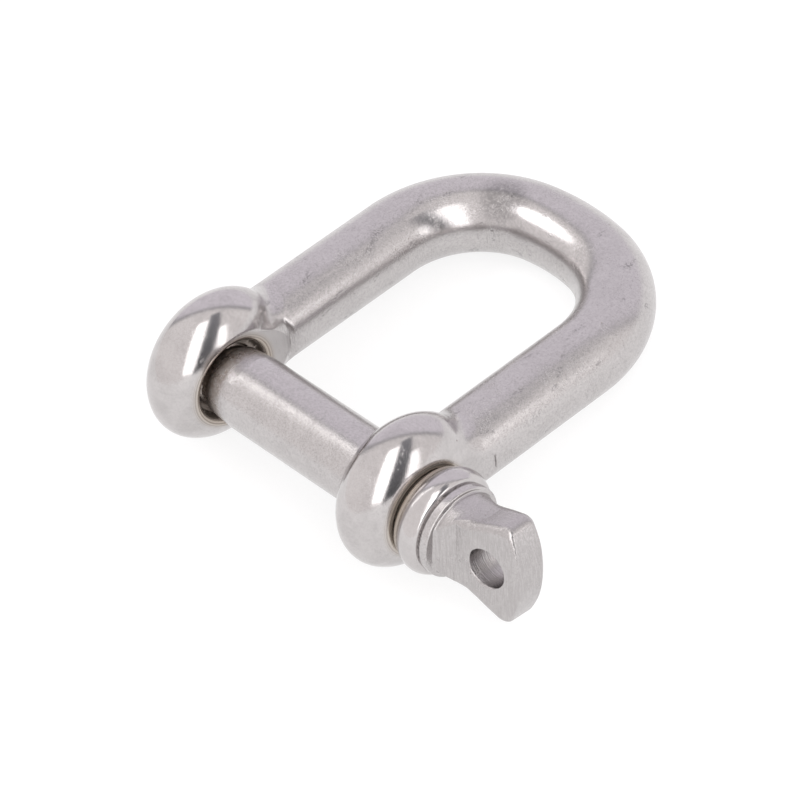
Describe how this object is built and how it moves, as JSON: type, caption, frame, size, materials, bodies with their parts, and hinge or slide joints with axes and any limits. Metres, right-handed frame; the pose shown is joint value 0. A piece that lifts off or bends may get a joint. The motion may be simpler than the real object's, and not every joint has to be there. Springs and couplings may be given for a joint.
{
  "type": "screw pin dee shackle",
  "caption": "Stainless dee shackle: a round-bar bow with straight legs and ball eyes, closed by a screw pin with a drilled flat head.",
  "frame": {"origin": "on the pin's axis, midway between the two eyes", "axes": "+X along the pin towards its head, +Y towards the crown, +Z square to the plane of the bow"},
  "size_m": [0.0487, 0.0481, 0.0162],
  "materials": {
    "bow_steel": "tumbled stainless steel, polished on the eyes",
    "pin_steel": "turned stainless steel, polished collar, satin head"
  },
  "bodies": {
    "bow": {"shackle_body": "bow_steel"},
    "pin_carrier": {"pin_point": "pin_steel"},
    "pin": {"screw_pin": "pin_steel"}
  },
  "joints": [
    {"name": "pin_travel", "type": "slide", "parent": "bow", "child": "pin_carrier", "axis": [1, 0, 0], "range_m": [-0.00036, 0.0361]},
    {"name": "pin_turn", "type": "hinge", "parent": "pin_carrier", "child": "pin", "pos_m": [0, 0, 0], "axis": [1, 0, 0], "range_deg": [-103.68, 10368]}
  ],
  "couplings": [
    {"joint": "pin_travel", "follows": "pin_turn", "m_per_rad": 0.00019894}
  ]
}
